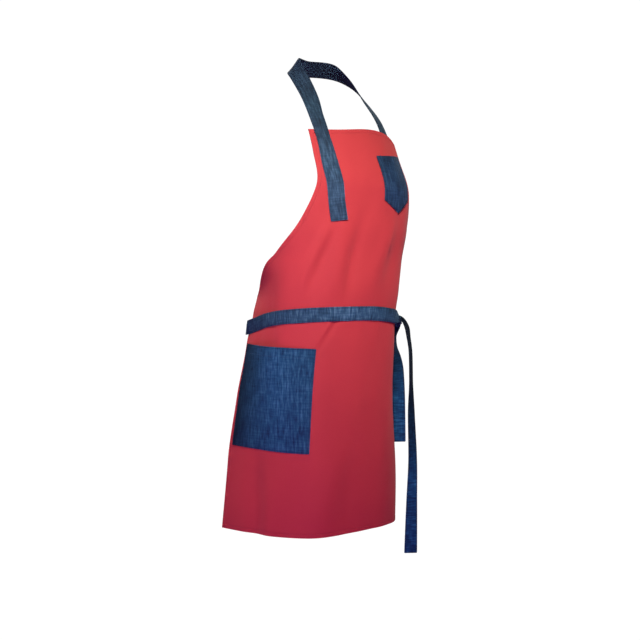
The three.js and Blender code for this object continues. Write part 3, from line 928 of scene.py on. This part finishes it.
# A lit copy of the navy denim: its colours are set for the light and shade that fall on the strap
NECK_DENIM_AS_LIT = ((0.006, 0.014, 0.036), (0.021, 0.050, 0.108), (0.078, 0.145, 0.265))
strap_denim = make_navy_denim("strap_denim", STRAP_SEAM, NECK_DENIM_AS_LIT, gloss=0.3)
navy_thread = make_thread("navy_thread", (0.035, 0.06, 0.13, 1), (0.012, 0.024, 0.06, 1))


# How much painted shade darkens the strap, at distances from its free end
NECK_PAINTED_SHADE = table(("from_end", "painted_shade"), ((720, 0.5), (330, 0.5), (190, 0.4), (90, 0.0)))

# Lines across the strap that sew it to the bib, from its start and from the bib's top edge
NECK_LEFT_SEAMS = (6.0, 26.0)
NECK_RIGHT_SEAMS = (4, 16)


def neck_width(where, length):
    """The band is drawn in a little where it is sewn to the bib's top edge."""
    past_edge = where - length + FREE_END_LENGTH
    drawn = np.exp(-((past_edge - NECK_DRAWN_AT) / NECK_DRAWN_OVER) ** 2)
    return NECK_STRAP_WIDTH * (1 - NECK_DRAWN_IN * drawn)


neck_run = Strap(*neck_stations(), neck_width)
bib_edge = neck_run.length - FREE_END_LENGTH
neck_seams = [*NECK_LEFT_SEAMS, *(bib_edge + place for place in NECK_RIGHT_SEAMS), neck_run.length - END_HEM]
make_strap(
    "neck_strap", neck_run, NECK_STRAP_WIDTH, strap_denim, flip=False,
    painted_shade=(neck_run.length - NECK_PAINTED_SHADE["from_end"], NECK_PAINTED_SHADE["painted_shade"]),
    crossings=neck_seams,
)


# Chest pocket. A denim patch with a pointed bottom on the wearer's left of the bib.
# Its top is hemmed and its other edges are turned under and sewn to the panel.
POCKET_THICKNESS = 1.6
CHEST_INNER = 21.0
CHEST_OUTER = 114.0
CHEST_FLARE = 8.0
CHEST_WIDTH = CHEST_OUTER - CHEST_INNER + CHEST_FLARE / 2
CHEST_TOP = -183.0
CHEST_SIDE = -271.0
CHEST_TIP = -297.0
CHEST_SLANT = 3.5
CHEST_GAPE = 5.0
# Painted shade that darkens the whole chest pocket evenly
CHEST_PAINTED_SHADE = 0.4
CHEST_CELLS = (48, 54)
CHEST_DEPTH = CHEST_TOP - (CHEST_SIDE + CHEST_TIP) / 2
POCKET_SEAM = 2.5
POCKET_HEM = 18.0
POCKET_STITCH_SINK = 0.15
POCKET_SEAM_POINTS = 60
POCKET_EDGE_SHARE = 0.65
POCKET_PUFF_FROM = 1
POCKET_PUFF_OVER = 3
POCKET_LIFT = (PANEL_THICKNESS + POCKET_THICKNESS) / 2 + PIECE_GAP


def chest_flat(u, v):
    """Where a point of the chest pocket lies on the bib."""
    point = 1 - np.abs(2 * u - 1)
    bottom = CHEST_SIDE + (CHEST_TIP - CHEST_SIDE) * point
    across = CHEST_INNER + (CHEST_OUTER + CHEST_FLARE * v - CHEST_INNER) * u
    return across, CHEST_TOP + (bottom - CHEST_TOP) * v + CHEST_SLANT * (2 * u - 1)


def pocket_point(flat, gape, u, v, lift=0.0):
    """A point of a pocket, which stands off the panel with its mouth a little open."""
    across, z = flat(u, v)
    stand = POCKET_LIFT + gape * np.sin(math.pi * u) ** 2 * (1 - v) ** 2
    return worn_point(across, z, stand + lift)


def pocket_seams(flat, gape, width, depth):
    """The lines down the sides, along the bottom, and under the hemmed top."""
    share = np.linspace(0, 1, POCKET_SEAM_POINTS)
    side = POCKET_SEAM / width
    low = 1 - POCKET_SEAM / depth
    hem = np.full_like(share, POCKET_HEM / depth)
    between = side + (1 - 2 * side) * share
    lines = (
        (np.full_like(share, side), share * low),
        (np.full_like(share, 1 - side), share * low),
        (between, np.full_like(share, low)),
        (between, hem),
    )
    return [pocket_point(flat, gape, u, v, POCKET_THICKNESS / 2 - POCKET_STITCH_SINK) for u, v in lines]


def make_pocket(name, cells, flat, gape, width, depth, edge_width, denim, painted_shade):
    """A patch on the panel, thinner at its sewn edges, with its stitches. Painted shade darkens the denim by
    the given amount across it, and edge_width is the width by which its side edges are marked."""

    def place(u, v):
        return pocket_point(flat, gape, u, v)

    pocket, u, v = lay_cloth(name + "_patch", *cells, place, flat)
    edge = grid_edge(u, v, edge_width, depth)
    mark(pocket, "edge", edge)
    mark(pocket, "painted_shade", painted_shade(u))
    thickness = puff(edge, POCKET_EDGE_SHARE, POCKET_PUFF_FROM, POCKET_PUFF_OVER)
    give_thickness(pocket, POCKET_THICKNESS, thickness, rounding=1)
    finish_piece(pocket, denim, name)
    return pocket, sew(name + "_stitches", pocket_seams(flat, gape, width, depth), navy_thread)


# A lit copy of the navy denim: its colours are set for the light and shade that fall on the chest pocket
CHEST_DENIM_AS_LIT = ((0.003, 0.010, 0.036), (0.010, 0.036, 0.110), (0.055, 0.120, 0.270))
chest_denim = make_navy_denim("chest_denim", POCKET_SEAM, CHEST_DENIM_AS_LIT, gloss=0.25)
chest_pocket, chest_stitches = make_pocket(
    "chest_pocket", CHEST_CELLS, chest_flat, CHEST_GAPE, CHEST_WIDTH, CHEST_DEPTH,
    edge_width=CHEST_WIDTH, denim=chest_denim, painted_shade=lambda u: np.full_like(u, CHEST_PAINTED_SHADE),
)


# Hip pocket. A large square denim patch on the wearer's right hip, its outer edge along the panel's flare.
# It is hemmed and sewn as the chest pocket is.
HIP_INNER_TOP = -116.0
HIP_OUTER_TOP = -326.0
HIP_INNER_BOTTOM = -127.0
HIP_OUTER_BOTTOM = -330.0
HIP_INNER_Z = -561.0
HIP_OUTER_Z = -552.0
HIP_WIDTH = (HIP_INNER_TOP - HIP_OUTER_TOP + HIP_INNER_BOTTOM - HIP_OUTER_BOTTOM) / 2
HIP_DEPTH = 200.0
HIP_GAPE = 7.0
# Painted shade on the hip pocket, darkest at its outer edge, which turns away, and fading out across it
HIP_PAINTED_SHADE = 0.92
HIP_SHADE_REACH = 0.60
HIP_CELLS = (84, 84)


def hip_flat(u, v):
    """Where a point of the hip pocket lies on the panel."""
    outer = HIP_OUTER_TOP + (HIP_OUTER_BOTTOM - HIP_OUTER_TOP) * v
    inner = HIP_INNER_TOP + (HIP_INNER_BOTTOM - HIP_INNER_TOP) * v
    top = HIP_OUTER_Z + (HIP_INNER_Z - HIP_OUTER_Z) * u
    return outer + (inner - outer) * u, top - HIP_DEPTH * v


# A lit copy of the navy denim: its colours are set for the light and shade that fall on the hip pocket
HIP_DENIM_AS_LIT = ((0.005, 0.020, 0.053), (0.014, 0.070, 0.155), (0.055, 0.166, 0.310))
hip_denim = make_navy_denim("hip_denim", POCKET_SEAM, HIP_DENIM_AS_LIT, gloss=0.12)
hip_pocket, hip_stitches = make_pocket(
    "hip_pocket", HIP_CELLS, hip_flat, HIP_GAPE, HIP_WIDTH, HIP_DEPTH,
    edge_width=HIP_DEPTH, denim=hip_denim, painted_shade=lambda u: HIP_PAINTED_SHADE * np.clip(1 - u / HIP_SHADE_REACH, 0, 1),
)


# Waist ties. Two folded denim bands, sewn inside the panel's side corners. They cross at the back,
# come round to the front and are knotted at the wearer's left. The left one crosses the whole front.
WAIST_TIE_WIDTH = 28.0
GATHER_LENGTH = 40.0
GATHER_WIDTH = 9.0
KNOT_TUCK = 32.0

# At the wearer's right the tie stands off the panel, with its upper edge furthest out
TIE_STANDS = 3.5
TIE_STANDS_AT = -315.0
TIE_STANDS_OVER = 60.0

# Lap is 1 once a tie has passed the back. Layer is -1 inside the panel, 1 on it, 2 over the other tie.
LEFT_TIE_ROUTE = table(
    ("lap", "across", "z", "layer"),
    (
        (0, 306.0, -474.0, -1), (0, 338.0, -477.0, -1), (0, 378.0, -485.0, 2), (0, 435.0, -507.0, 2),
        (1, -375.0, -519.0, 2), (1, -334.0, -521.0, 1), (1, -290.0, -516.0, 1), (1, -240.0, -506.0, 1),
        (1, -178.0, -500.0, 1), (1, -85.0, -495.0, 1), (1, 0.0, -493.0, 1), (1, 70.0, -496.0, 1),
        (1, 108.0, -500.0, 1.2), (1, 128.0, -504.0, 2.6), (1, 142.0, -508.0, 4.2), (1, 154.0, -510.0, 4.2),
        (1, 166.0, -512.0, 2.4),
    ),
)
RIGHT_TIE_ROUTE = table(
    ("lap", "across", "z", "layer"),
    (
        (0, 306.0, -474.0, -1), (0, 338.0, -477.0, -1), (0, 378.0, -486.0, 1), (0, 435.0, -506.0, 1),
        (1, -330.0, -518.0, 1), (1, -240.0, -514.0, 1), (1, -158.0, -508.0, 1),
    ),
)


def gathered_width(distance, gather):
    """A tie is gathered at the knot and opens to its full width away from it."""
    opened = np.clip(distance / gather, 0, 1)
    return GATHER_WIDTH + (WAIST_TIE_WIDTH - GATHER_WIDTH) * opened * opened * (3 - 2 * opened)


def tie_run(route, side):
    """A tie's run round the waist; side is 1 for the one sewn at the wearer's left and -1 for the other."""
    girth = 2 * float(sum(length for radius, length in section_arcs(np.array(WAIST))[0]))
    around = route["across"] + route["lap"] * girth
    place = np.linspace(around[0], around[-1], int((around[-1] - around[0]) / STRAP_STEP) + 1)
    z = smooth_value(around, route["z"], place)
    layer = smooth_value(around, route["layer"], place)
    on_panel = (PANEL_THICKNESS + STRAP_THICKNESS) / 2 + PIECE_GAP
    over_tie = STRAP_THICKNESS + 2 * PIECE_GAP
    lift = on_panel * np.minimum(layer, 1) + over_tie * np.maximum(layer - 1, 0)
    loose = TIE_STANDS * np.exp(-((place - girth - TIE_STANDS_AT) / TIE_STANDS_OVER) ** 2)
    middle = worn_point(place, z, lift + loose) * (side, 1, 1)
    upper = worn_point(place, z + WAIST_TIE_WIDTH / 2, lift + 2 * loose) * (side, 1, 1)
    return Strap(
        middle, unit(upper - middle),
        lambda where, length: gathered_width(length - where - KNOT_TUCK, GATHER_LENGTH),
    )


# How much painted shade darkens a tie, at distances from its end in the knot
TIE_PAINTED_SHADE = table(
    ("from_end", "painted_shade"),
    ((760, 0.6), (440, 0.6), (370, 0.26), (230, 0.0), (80, 0.46), (0, 0.7)),
)
# A lit copy of the navy denim: its colours are made lighter for the light that falls on the ties
TIE_DENIM_AS_LIT = ((0.009, 0.021, 0.046), (0.029, 0.080, 0.158), (0.128, 0.235, 0.375))
tie_denim = make_navy_denim("tie_denim", STRAP_SEAM, TIE_DENIM_AS_LIT, gloss=0.15)
for tie_name, route, side in (
    ("waist_tie_left", LEFT_TIE_ROUTE, 1),
    ("waist_tie_right", RIGHT_TIE_ROUTE, -1),
):
    run = tie_run(route, side)
    make_strap(
        tie_name, run, WAIST_TIE_WIDTH, tie_denim, flip=True,
        painted_shade=(run.length - TIE_PAINTED_SHADE["from_end"], TIE_PAINTED_SHADE["painted_shade"]),
        crossings=(),
    )


# Knot. The two ties wound once round each other and drawn tight at the wearer's front left.
# A gathered band wraps a bundle of the other tie, and both free ends come out of it.
KNOT_ACROSS = 146.0
KNOT_Z = -507.0
KNOT_ALONG = 15.0
KNOT_UP = 13.0
KNOT_OUT = 7.0
WRAP_WIDTH = 9.5
WRAP_UP = 9.6
WRAP_OUT = 4.4
WRAP_SLANT = 2.5
WRAP_WIDENS = 1.5
WRAP_SHIFT = 1.0
WRAP_ROUND = 1.5
WRAP_CROWN = 0.9
WRAP_PLEAT = 0.5
WRAP_PLEATS = 3.2
WRAP_PLEAT_DRIFT = 0.6
BUNDLE_UP = 9.5
BUNDLE_OUT = 5.4
BUNDLE_FULLNESS = 0.7
BUNDLE_ENDS = 0.8
BUNDLE_CREASE = 0.10
BUNDLE_CREASES = 2.5
BUNDLE_TWIST = 1.2
# Painted shade on the knot's band, and deeper on the bundle inside it
WRAP_PAINTED_SHADE = 0.4
BUNDLE_PAINTED_SHADE = 0.8

# So far from any edge that the denim shows no hem there
NO_HEM = 9.0

knot_lift = PANEL_THICKNESS / 2 + PIECE_GAP + KNOT_OUT
knot_middle = worn_point(np.array(KNOT_ACROSS), np.array(KNOT_Z), knot_lift)
knot_along = unit(worn_point(np.array(KNOT_ACROSS + KNOT_ALONG), np.array(KNOT_Z), knot_lift) - knot_middle)
knot_up = np.array((0.0, 0.0, 1.0))
knot_out = np.cross(knot_along, knot_up)


def shape_knot_part(shape, painted_shade):
    """Moves the new primitive's points by shape, from its own ball or ring to places along, up and out."""
    piece = bpy.context.active_object
    corners = np.array([corner.co for corner in piece.data.vertices])
    along, up, out = shape(corners)
    spots = knot_middle + np.outer(along, knot_along) + np.outer(up, knot_up) + np.outer(out, knot_out)
    piece.data.vertices.foreach_set("co", (spots * MM).ravel())
    layer = piece.data.uv_layers[0]
    layer.name = "flat"
    order = np.array([loop.vertex_index for loop in piece.data.loops])
    around = np.arctan2(out, up) * KNOT_UP
    layer.data.foreach_set("uv", (np.stack((around, along), axis=1) * MM)[order].ravel())
    mark(piece, "edge", np.full(len(corners), NO_HEM))
    mark(piece, "painted_shade", np.full(len(corners), painted_shade))
    piece.data.update()
    bpy.ops.object.mode_set(mode="EDIT")
    bpy.ops.mesh.select_all(action="SELECT")
    bpy.ops.mesh.normals_make_consistent(inside=False)
    bpy.ops.object.mode_set(mode="OBJECT")
    bpy.ops.object.shade_smooth()
    piece.data.materials.append(tie_denim)
    return piece


def wrap_shape(corners):
    """The gathered band: a slanting ring, pleated along its length and tucked in at its edges."""
    angle = np.arctan2(corners[:, 1], corners[:, 0])
    ring = np.hypot(corners[:, 0], corners[:, 1]) - 1
    section = np.arctan2(corners[:, 2], ring)
    width = WRAP_WIDTH + WRAP_WIDENS * np.cos(angle)
    along = width * np.sin(section) - WRAP_SLANT * np.cos(angle) - WRAP_SHIFT
    drift = WRAP_PLEAT_DRIFT * np.sin(angle)
    pleat = WRAP_PLEAT * np.cos(WRAP_PLEATS * along / width * math.pi + drift)
    rise = WRAP_ROUND * np.cos(section) + (WRAP_CROWN + pleat) * np.cos(section / 2) ** 2
    return along, (WRAP_UP + rise) * np.cos(angle), (WRAP_OUT + rise) * np.sin(angle)


def bundle_shape(corners):
    """The tie inside the band: a rolled bundle with creases along it."""
    angle = np.arctan2(corners[:, 1], corners[:, 2])
    ring = np.hypot(corners[:, 1], corners[:, 2]) ** BUNDLE_FULLNESS
    crease = 1 - BUNDLE_CREASE * np.abs(np.sin(BUNDLE_CREASES * angle + BUNDLE_TWIST * corners[:, 0]))
    along = KNOT_ALONG * np.sign(corners[:, 0]) * np.abs(corners[:, 0]) ** BUNDLE_ENDS
    return along, BUNDLE_UP * ring * np.cos(angle) * crease, -BUNDLE_OUT * ring * np.sin(angle) * crease


bpy.ops.object.select_all(action="DESELECT")
bpy.ops.mesh.primitive_torus_add(major_segments=72, minor_segments=28, major_radius=1, minor_radius=0.25)
wrap = shape_knot_part(wrap_shape, WRAP_PAINTED_SHADE)
bpy.ops.object.select_all(action="DESELECT")
bpy.ops.mesh.primitive_uv_sphere_add(segments=48, ring_count=28, radius=1)
bundle = shape_knot_part(bundle_shape, BUNDLE_PAINTED_SHADE)
knot = join_pieces("tie_knot_wrap", [wrap, bundle])
finish_piece(knot, node="tie_knot")


# Free ends. The long and the short end of the ties hang from the knot, twisting as they fall.
# They are gathered where they leave the knot, and each is turned and sewn across its tip.
TAIL_GATHER_LENGTH = 45.0
TAILS = {
    "tie_tail_long": table(
        ("x", "y", "z", "turn"),
        (
            (132.0, -121.0, -498.0, 10.0), (138.0, -127.0, -497.0, 10.0), (143.5, -133.0, -503.0, 12.0),
            (149.0, -140.0, -519.0, 20.0), (151.5, -142.5, -540.0, 25.0), (154.0, -145.0, -565.0, 26.5),
            (155.0, -146.0, -626.0, 26.0), (155.3, -146.3, -690.0, 12.0), (157.3, -148.3, -788.0, 2.0),
            (156.0, -147.0, -868.0, -11.0), (154.4, -145.4, -975.0, -29.0),
        ),
    ),
    "tie_tail_short": table(
        ("x", "y", "z", "turn"),
        (
            (142.0, -126.0, -497.0, -15.0), (141.0, -125.5, -508.0, -12.0), (139.0, -123.0, -518.0, 0.0),
            (137.2, -119.8, -529.0, 20.0), (137.0, -119.0, -540.0, 33.0), (139.0, -117.6, -560.0, 26.0),
            (143.5, -118.0, -580.0, 8.0), (148.5, -116.5, -605.0, -13.0), (151.0, -116.0, -660.0, -28.0),
            (151.5, -116.5, -752.0, -36.0),
        ),
    ),
}

# The free ends have a lit copy of the navy denim, with colours set for the light on them, and painted shade
# darkens them most where they leave the knot
TAIL_DENIM_AS_LIT = ((0.002, 0.015, 0.045), (0.008, 0.060, 0.158), (0.038, 0.180, 0.370))
tail_denim = make_navy_denim("tail_denim", STRAP_SEAM, TAIL_DENIM_AS_LIT, gloss=0.1)
TAIL_PAINTED_SHADE = {
    "tie_tail_long": table(("from_knot", "painted_shade"), ((0, 1.0), (160, 1.0), (250, 0.8), (360, 0.1))),
    "tie_tail_short": table(("from_knot", "painted_shade"), ((0, 0.9), (90, 0.8), (170, 0.0))),
}

for tail_name, route in TAILS.items():
    turn = np.radians(route["turn"])
    middle = np.stack((route["x"], route["y"], route["z"]), axis=1)
    outward = np.stack((np.cos(turn), np.sin(turn), np.zeros_like(turn)), axis=1)
    run = Strap(middle, outward, lambda where, length: gathered_width(where, TAIL_GATHER_LENGTH))
    make_strap(
        tail_name, run, WAIST_TIE_WIDTH, tail_denim, flip=True,
        painted_shade=(TAIL_PAINTED_SHADE[tail_name]["from_knot"], TAIL_PAINTED_SHADE[tail_name]["painted_shade"]),
        crossings=(run.length - END_HEM,),
    )


# Stage. A plain pale floor under the hanging apron, and an even white surround.
# The camera sees both nearly white, and they throw little light back onto the cloth.
FLOOR_Z = -1450.0
FLOOR_RADIUS = 9000.0
FLOOR_PAINT = (0.30, 0.26, 0.38, 1)
FLOOR_GLOW = 1.05
FLOOR_GLOW_SHARE = 0.985
ROOM_LIGHT = 0.04
WHITE = (1, 1, 1, 1)
bpy.ops.object.select_all(action="DESELECT")
bpy.ops.mesh.primitive_circle_add(vertices=96, radius=FLOOR_RADIUS * MM, fill_type="NGON")
floor = bpy.context.active_object
floor.name = "floor"
floor.data.transform(Matrix.Translation((0, 0, FLOOR_Z * MM)))
floor_paint = bpy.data.materials.new("floor_paint")
floor_paint.use_nodes = True
floor_tree = floor_paint.node_tree
floor_shader = floor_tree.nodes["Principled BSDF"]
set_shader(floor_shader, {"Base Color": FLOOR_PAINT, "Roughness": 0.9})
floor_glow = add_node(floor_tree, "ShaderNodeEmission", {"Color": WHITE, "Strength": FLOOR_GLOW})
floor_seen = add_node(floor_tree, "ShaderNodeLightPath", {}).outputs["Is Camera Ray"]
glow_share = calc(floor_tree, "MULTIPLY", floor_seen, FLOOR_GLOW_SHARE)
floor_mix = add_node(
    floor_tree, "ShaderNodeMixShader", {0: glow_share, 1: floor_shader.outputs[0], 2: floor_glow.outputs[0]}
)
floor_tree.links.new(floor_mix.outputs[0], floor_tree.nodes["Material Output"].inputs["Surface"])
floor_paint.cycles.emission_sampling = "NONE"
floor.data.materials.append(floor_paint)

world = bpy.data.worlds.new("studio")
bpy.context.scene.world = world
world.use_nodes = True
world_tree = world.node_tree
seen = add_node(world_tree, "ShaderNodeLightPath", {}).outputs["Is Camera Ray"]
background = world_tree.nodes["Background"]
background.inputs["Color"].default_value = WHITE
world_tree.links.new(calc(world_tree, "ADD", ROOM_LIGHT, seen), background.inputs["Strength"])


# Light. Soft studio lights: a key high in front, a wide one at the wearer's right, a low one that fills
# the skirt, and two that show the left side and the back.
LIGHT_AIM_Y = -0.03


def softbox(name, azimuth, elevation, distance, size, power, colour, spread, height):
    """An area light that faces a height on the apron; spread is the angle that its beam fills."""
    data = bpy.data.lights.new(name, "AREA")
    data.shape = "SQUARE"
    data.size = size
    data.energy = power
    data.color = colour
    data.spread = math.radians(spread)
    light = bpy.data.objects.new(name, data)
    bpy.context.scene.collection.objects.link(light)
    turn = math.radians(azimuth)
    rise = math.radians(elevation)
    way = np.array((math.sin(turn) * math.cos(rise), -math.cos(turn) * math.cos(rise), math.sin(rise)))
    light.location = np.array((0, LIGHT_AIM_Y, height)) + way * distance
    light.rotation_mode = "QUATERNION"
    light.rotation_quaternion = Vector(way).to_track_quat("Z", "Y")


# Name, azimuth, elevation, distance, size, power, colour, spread and the height that it faces
for row in (
    ("key", -39, 32, 1.8, 0.4, 2.29, (0.89, 0.97, 0.78), 36, -0.38),
    ("right", -105, 12, 2.0, 1.0, 11, (0.70, 0.58, 1.0), 180, -0.40),
    ("low", -45, -20, 1.4, 0.6, 15, (0.72, 0.24, 1.0), 180, -0.90),
    ("left", 110, 15, 2.2, 1.2, 14, (1.0, 0.97, 0.94), 180, -0.40),
    ("back", 150, 38, 2.2, 1.2, 45, (1.0, 0.97, 0.94), 180, -0.40),
):
    softbox(*row)


# Camera. Level, at about the apron's middle, three metres away, in front and to the wearer's right.
# Its picture is shifted by a few pixels, as far as the framing needs.
CAMERA_AZIMUTH = math.radians(-45)
CAMERA_DISTANCE = 3.0
AIM = (0.0, -0.027, -0.525)
FOCAL_PIXELS = 1500.0
IMAGE_PIXELS = 640.0
AIM_PIXEL = (315.0, 330.0)
SENSOR = 36.0
camera_data = bpy.data.cameras.new("camera")
camera_data.sensor_width = SENSOR
camera_data.lens = FOCAL_PIXELS / IMAGE_PIXELS * SENSOR
camera_data.shift_x = (IMAGE_PIXELS / 2 - AIM_PIXEL[0]) / IMAGE_PIXELS
camera_data.shift_y = (AIM_PIXEL[1] - IMAGE_PIXELS / 2) / IMAGE_PIXELS
camera = bpy.data.objects.new("camera", camera_data)
bpy.context.scene.collection.objects.link(camera)
camera.location = (
    AIM[0] + CAMERA_DISTANCE * math.sin(CAMERA_AZIMUTH),
    AIM[1] - CAMERA_DISTANCE * math.cos(CAMERA_AZIMUTH),
    AIM[2],
)
camera.rotation_euler = (math.radians(90), 0, CAMERA_AZIMUTH)
bpy.context.scene.camera = camera
bpy.context.scene.view_settings.view_transform = "Standard"
